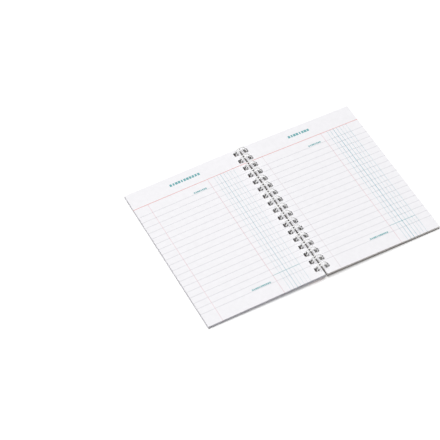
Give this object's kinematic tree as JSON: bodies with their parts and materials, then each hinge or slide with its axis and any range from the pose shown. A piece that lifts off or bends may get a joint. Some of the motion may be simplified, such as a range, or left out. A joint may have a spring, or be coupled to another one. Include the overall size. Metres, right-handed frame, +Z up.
{
  "type": "cash book",
  "caption": "Pocket cash book lying open: ruled, punched leaves between a printed card cover and a board back, turning on one twin-loop wire.",
  "frame": {"origin": "middle of the spine, on the table that the open book lies on", "axes": "+X across the spread to the right page, +Y up the page, +Z up from the table"},
  "size_m": [0.2116, 0.148, 0.0105],
  "materials": {
    "cover_card": "varnished printed card",
    "back_board": "uncoated grey board",
    "coated_wire": "white nylon coat",
    "page_paper": "uncoated ruled paper"
  },
  "bodies": {
    "back_and_wire": {"back_cover": "back_board", "wire_binding": "coated_wire"},
    "front_cover": {"front_cover": "cover_card"},
    "leaf_01": {"leaf_01": "page_paper"},
    "leaf_02": {"leaf_02": "page_paper"},
    "leaf_03": {"leaf_03": "page_paper"},
    "leaf_04": {"leaf_04": "page_paper"},
    "leaf_05": {"leaf_05": "page_paper"},
    "leaf_06": {"leaf_06": "page_paper"},
    "leaf_07": {"leaf_07": "page_paper"},
    "leaf_08": {"leaf_08": "page_paper"},
    "leaf_09": {"leaf_09": "page_paper"},
    "leaf_10": {"leaf_10": "page_paper"},
    "leaf_11": {"leaf_11": "page_paper"},
    "leaf_12": {"leaf_12": "page_paper"},
    "leaf_13": {"leaf_13": "page_paper"},
    "leaf_14": {"leaf_14": "page_paper"},
    "leaf_15": {"leaf_15": "page_paper"},
    "leaf_16": {"leaf_16": "page_paper"},
    "leaf_17": {"leaf_17": "page_paper"},
    "leaf_18": {"leaf_18": "page_paper"},
    "leaf_19": {"leaf_19": "page_paper"},
    "leaf_20": {"leaf_20": "page_paper"},
    "leaf_21": {"leaf_21": "page_paper"},
    "leaf_22": {"leaf_22": "page_paper"},
    "leaf_23": {"leaf_23": "page_paper"},
    "leaf_24": {"leaf_24": "page_paper"},
    "leaf_25": {"leaf_25": "page_paper"},
    "leaf_26": {"leaf_26": "page_paper"},
    "leaf_27": {"leaf_27": "page_paper"},
    "leaf_28": {"leaf_28": "page_paper"},
    "leaf_29": {"leaf_29": "page_paper"},
    "leaf_30": {"leaf_30": "page_paper"},
    "leaf_31": {"leaf_31": "page_paper"},
    "leaf_32": {"leaf_32": "page_paper"},
    "leaf_33": {"leaf_33": "page_paper"},
    "leaf_34": {"leaf_34": "page_paper"},
    "leaf_35": {"leaf_35": "page_paper"},
    "leaf_36": {"leaf_36": "page_paper"},
    "leaf_37": {"leaf_37": "page_paper"},
    "leaf_38": {"leaf_38": "page_paper"},
    "leaf_39": {"leaf_39": "page_paper"},
    "leaf_40": {"leaf_40": "page_paper"},
    "leaf_41": {"leaf_41": "page_paper"},
    "leaf_42": {"leaf_42": "page_paper"},
    "leaf_43": {"leaf_43": "page_paper"},
    "leaf_44": {"leaf_44": "page_paper"},
    "leaf_45": {"leaf_45": "page_paper"},
    "leaf_46": {"leaf_46": "page_paper"},
    "leaf_47": {"leaf_47": "page_paper"},
    "leaf_48": {"leaf_48": "page_paper"},
    "leaf_49": {"leaf_49": "page_paper"},
    "leaf_50": {"leaf_50": "page_paper"}
  },
  "joints": [
    {"name": "front_cover_turn", "type": "hinge", "parent": "back_and_wire", "child": "front_cover", "pos_m": [0, 0, 0.00524], "axis": [0, 1, 0], "range_deg": [0, 182.2]},
    {"name": "leaf_01_turn", "type": "hinge", "parent": "front_cover", "child": "leaf_01", "pos_m": [0, 0, 0.00524], "axis": [0, 1, 0], "range_deg": [0, 180]},
    {"name": "leaf_02_turn", "type": "hinge", "parent": "leaf_01", "child": "leaf_02", "pos_m": [0, 0, 0.00524], "axis": [0, 1, 0], "range_deg": [0, 180]},
    {"name": "leaf_03_turn", "type": "hinge", "parent": "leaf_02", "child": "leaf_03", "pos_m": [0, 0, 0.00524], "axis": [0, 1, 0], "range_deg": [0, 180]},
    {"name": "leaf_04_turn", "type": "hinge", "parent": "leaf_03", "child": "leaf_04", "pos_m": [0, 0, 0.00524], "axis": [0, 1, 0], "range_deg": [0, 180]},
    {"name": "leaf_05_turn", "type": "hinge", "parent": "leaf_04", "child": "leaf_05", "pos_m": [0, 0, 0.00524], "axis": [0, 1, 0], "range_deg": [0, 180]},
    {"name": "leaf_06_turn", "type": "hinge", "parent": "leaf_05", "child": "leaf_06", "pos_m": [0, 0, 0.00524], "axis": [0, 1, 0], "range_deg": [0, 180]},
    {"name": "leaf_07_turn", "type": "hinge", "parent": "leaf_06", "child": "leaf_07", "pos_m": [0, 0, 0.00524], "axis": [0, 1, 0], "range_deg": [0, 180]},
    {"name": "leaf_08_turn", "type": "hinge", "parent": "leaf_07", "child": "leaf_08", "pos_m": [0, 0, 0.00524], "axis": [0, 1, 0], "range_deg": [0, 180]},
    {"name": "leaf_09_turn", "type": "hinge", "parent": "leaf_08", "child": "leaf_09", "pos_m": [0, 0, 0.00524], "axis": [0, 1, 0], "range_deg": [0, 180]},
    {"name": "leaf_10_turn", "type": "hinge", "parent": "leaf_09", "child": "leaf_10", "pos_m": [0, 0, 0.00524], "axis": [0, 1, 0], "range_deg": [0, 180]},
    {"name": "leaf_11_turn", "type": "hinge", "parent": "leaf_10", "child": "leaf_11", "pos_m": [0, 0, 0.00524], "axis": [0, 1, 0], "range_deg": [0, 180]},
    {"name": "leaf_12_turn", "type": "hinge", "parent": "leaf_11", "child": "leaf_12", "pos_m": [0, 0, 0.00524], "axis": [0, 1, 0], "range_deg": [0, 180]},
    {"name": "leaf_13_turn", "type": "hinge", "parent": "leaf_12", "child": "leaf_13", "pos_m": [0, 0, 0.00524], "axis": [0, 1, 0], "range_deg": [0, 180]},
    {"name": "leaf_14_turn", "type": "hinge", "parent": "leaf_13", "child": "leaf_14", "pos_m": [0, 0, 0.00524], "axis": [0, 1, 0], "range_deg": [0, 180]},
    {"name": "leaf_15_turn", "type": "hinge", "parent": "leaf_14", "child": "leaf_15", "pos_m": [0, 0, 0.00524], "axis": [0, 1, 0], "range_deg": [0, 180]},
    {"name": "leaf_16_turn", "type": "hinge", "parent": "leaf_15", "child": "leaf_16", "pos_m": [0, 0, 0.00524], "axis": [0, 1, 0], "range_deg": [0, 180]},
    {"name": "leaf_17_turn", "type": "hinge", "parent": "leaf_16", "child": "leaf_17", "pos_m": [0, 0, 0.00524], "axis": [0, 1, 0], "range_deg": [0, 180]},
    {"name": "leaf_18_turn", "type": "hinge", "parent": "leaf_17", "child": "leaf_18", "pos_m": [0, 0, 0.00524], "axis": [0, 1, 0], "range_deg": [0, 180]},
    {"name": "leaf_19_turn", "type": "hinge", "parent": "leaf_18", "child": "leaf_19", "pos_m": [0, 0, 0.00524], "axis": [0, 1, 0], "range_deg": [0, 180]},
    {"name": "leaf_20_turn", "type": "hinge", "parent": "leaf_19", "child": "leaf_20", "pos_m": [0, 0, 0.00524], "axis": [0, 1, 0], "range_deg": [0, 180]},
    {"name": "leaf_21_turn", "type": "hinge", "parent": "leaf_20", "child": "leaf_21", "pos_m": [0, 0, 0.00524], "axis": [0, 1, 0], "range_deg": [0, 180]},
    {"name": "leaf_22_turn", "type": "hinge", "parent": "leaf_21", "child": "leaf_22", "pos_m": [0, 0, 0.00524], "axis": [0, 1, 0], "range_deg": [0, 180]},
    {"name": "leaf_23_turn", "type": "hinge", "parent": "leaf_22", "child": "leaf_23", "pos_m": [0, 0, 0.00524], "axis": [0, 1, 0], "range_deg": [0, 180]},
    {"name": "leaf_24_turn", "type": "hinge", "parent": "leaf_23", "child": "leaf_24", "pos_m": [0, 0, 0.00524], "axis": [0, 1, 0], "range_deg": [0, 180]},
    {"name": "leaf_25_turn", "type": "hinge", "parent": "leaf_24", "child": "leaf_25", "pos_m": [0, 0, 0.00524], "axis": [0, 1, 0], "range_deg": [0, 180]},
    {"name": "leaf_26_turn", "type": "hinge", "parent": "leaf_25", "child": "leaf_26", "pos_m": [0, 0, 0.00524], "axis": [0, 1, 0], "range_deg": [0, 180]},
    {"name": "leaf_27_turn", "type": "hinge", "parent": "leaf_26", "child": "leaf_27", "pos_m": [0, 0, 0.00524], "axis": [0, 1, 0], "range_deg": [0, 180]},
    {"name": "leaf_28_turn", "type": "hinge", "parent": "leaf_27", "child": "leaf_28", "pos_m": [0, 0, 0.00524], "axis": [0, 1, 0], "range_deg": [0, 180]},
    {"name": "leaf_50_turn", "type": "hinge", "parent": "back_and_wire", "child": "leaf_50", "pos_m": [0, 0, 0.00524], "axis": [0, 1, 0], "range_deg": [-180, 0]},
    {"name": "leaf_49_turn", "type": "hinge", "parent": "leaf_50", "child": "leaf_49", "pos_m": [0, 0, 0.00524], "axis": [0, 1, 0], "range_deg": [-180, 0]},
    {"name": "leaf_48_turn", "type": "hinge", "parent": "leaf_49", "child": "leaf_48", "pos_m": [0, 0, 0.00524], "axis": [0, 1, 0], "range_deg": [-180, 0]},
    {"name": "leaf_47_turn", "type": "hinge", "parent": "leaf_48", "child": "leaf_47", "pos_m": [0, 0, 0.00524], "axis": [0, 1, 0], "range_deg": [-180, 0]},
    {"name": "leaf_46_turn", "type": "hinge", "parent": "leaf_47", "child": "leaf_46", "pos_m": [0, 0, 0.00524], "axis": [0, 1, 0], "range_deg": [-180, 0]},
    {"name": "leaf_45_turn", "type": "hinge", "parent": "leaf_46", "child": "leaf_45", "pos_m": [0, 0, 0.00524], "axis": [0, 1, 0], "range_deg": [-180, 0]},
    {"name": "leaf_44_turn", "type": "hinge", "parent": "leaf_45", "child": "leaf_44", "pos_m": [0, 0, 0.00524], "axis": [0, 1, 0], "range_deg": [-180, 0]},
    {"name": "leaf_43_turn", "type": "hinge", "parent": "leaf_44", "child": "leaf_43", "pos_m": [0, 0, 0.00524], "axis": [0, 1, 0], "range_deg": [-180, 0]},
    {"name": "leaf_42_turn", "type": "hinge", "parent": "leaf_43", "child": "leaf_42", "pos_m": [0, 0, 0.00524], "axis": [0, 1, 0], "range_deg": [-180, 0]},
    {"name": "leaf_41_turn", "type": "hinge", "parent": "leaf_42", "child": "leaf_41", "pos_m": [0, 0, 0.00524], "axis": [0, 1, 0], "range_deg": [-180, 0]},
    {"name": "leaf_40_turn", "type": "hinge", "parent": "leaf_41", "child": "leaf_40", "pos_m": [0, 0, 0.00524], "axis": [0, 1, 0], "range_deg": [-180, 0]},
    {"name": "leaf_39_turn", "type": "hinge", "parent": "leaf_40", "child": "leaf_39", "pos_m": [0, 0, 0.00524], "axis": [0, 1, 0], "range_deg": [-180, 0]},
    {"name": "leaf_38_turn", "type": "hinge", "parent": "leaf_39", "child": "leaf_38", "pos_m": [0, 0, 0.00524], "axis": [0, 1, 0], "range_deg": [-180, 0]},
    {"name": "leaf_37_turn", "type": "hinge", "parent": "leaf_38", "child": "leaf_37", "pos_m": [0, 0, 0.00524], "axis": [0, 1, 0], "range_deg": [-180, 0]},
    {"name": "leaf_36_turn", "type": "hinge", "parent": "leaf_37", "child": "leaf_36", "pos_m": [0, 0, 0.00524], "axis": [0, 1, 0], "range_deg": [-180, 0]},
    {"name": "leaf_35_turn", "type": "hinge", "parent": "leaf_36", "child": "leaf_35", "pos_m": [0, 0, 0.00524], "axis": [0, 1, 0], "range_deg": [-180, 0]},
    {"name": "leaf_34_turn", "type": "hinge", "parent": "leaf_35", "child": "leaf_34", "pos_m": [0, 0, 0.00524], "axis": [0, 1, 0], "range_deg": [-180, 0]},
    {"name": "leaf_33_turn", "type": "hinge", "parent": "leaf_34", "child": "leaf_33", "pos_m": [0, 0, 0.00524], "axis": [0, 1, 0], "range_deg": [-180, 0]},
    {"name": "leaf_32_turn", "type": "hinge", "parent": "leaf_33", "child": "leaf_32", "pos_m": [0, 0, 0.00524], "axis": [0, 1, 0], "range_deg": [-180, 0]},
    {"name": "leaf_31_turn", "type": "hinge", "parent": "leaf_32", "child": "leaf_31", "pos_m": [0, 0, 0.00524], "axis": [0, 1, 0], "range_deg": [-180, 0]},
    {"name": "leaf_30_turn", "type": "hinge", "parent": "leaf_31", "child": "leaf_30", "pos_m": [0, 0, 0.00524], "axis": [0, 1, 0], "range_deg": [-180, 0]},
    {"name": "leaf_29_turn", "type": "hinge", "parent": "leaf_30", "child": "leaf_29", "pos_m": [0, 0, 0.00524], "axis": [0, 1, 0], "range_deg": [-180, 0]}
  ]
}
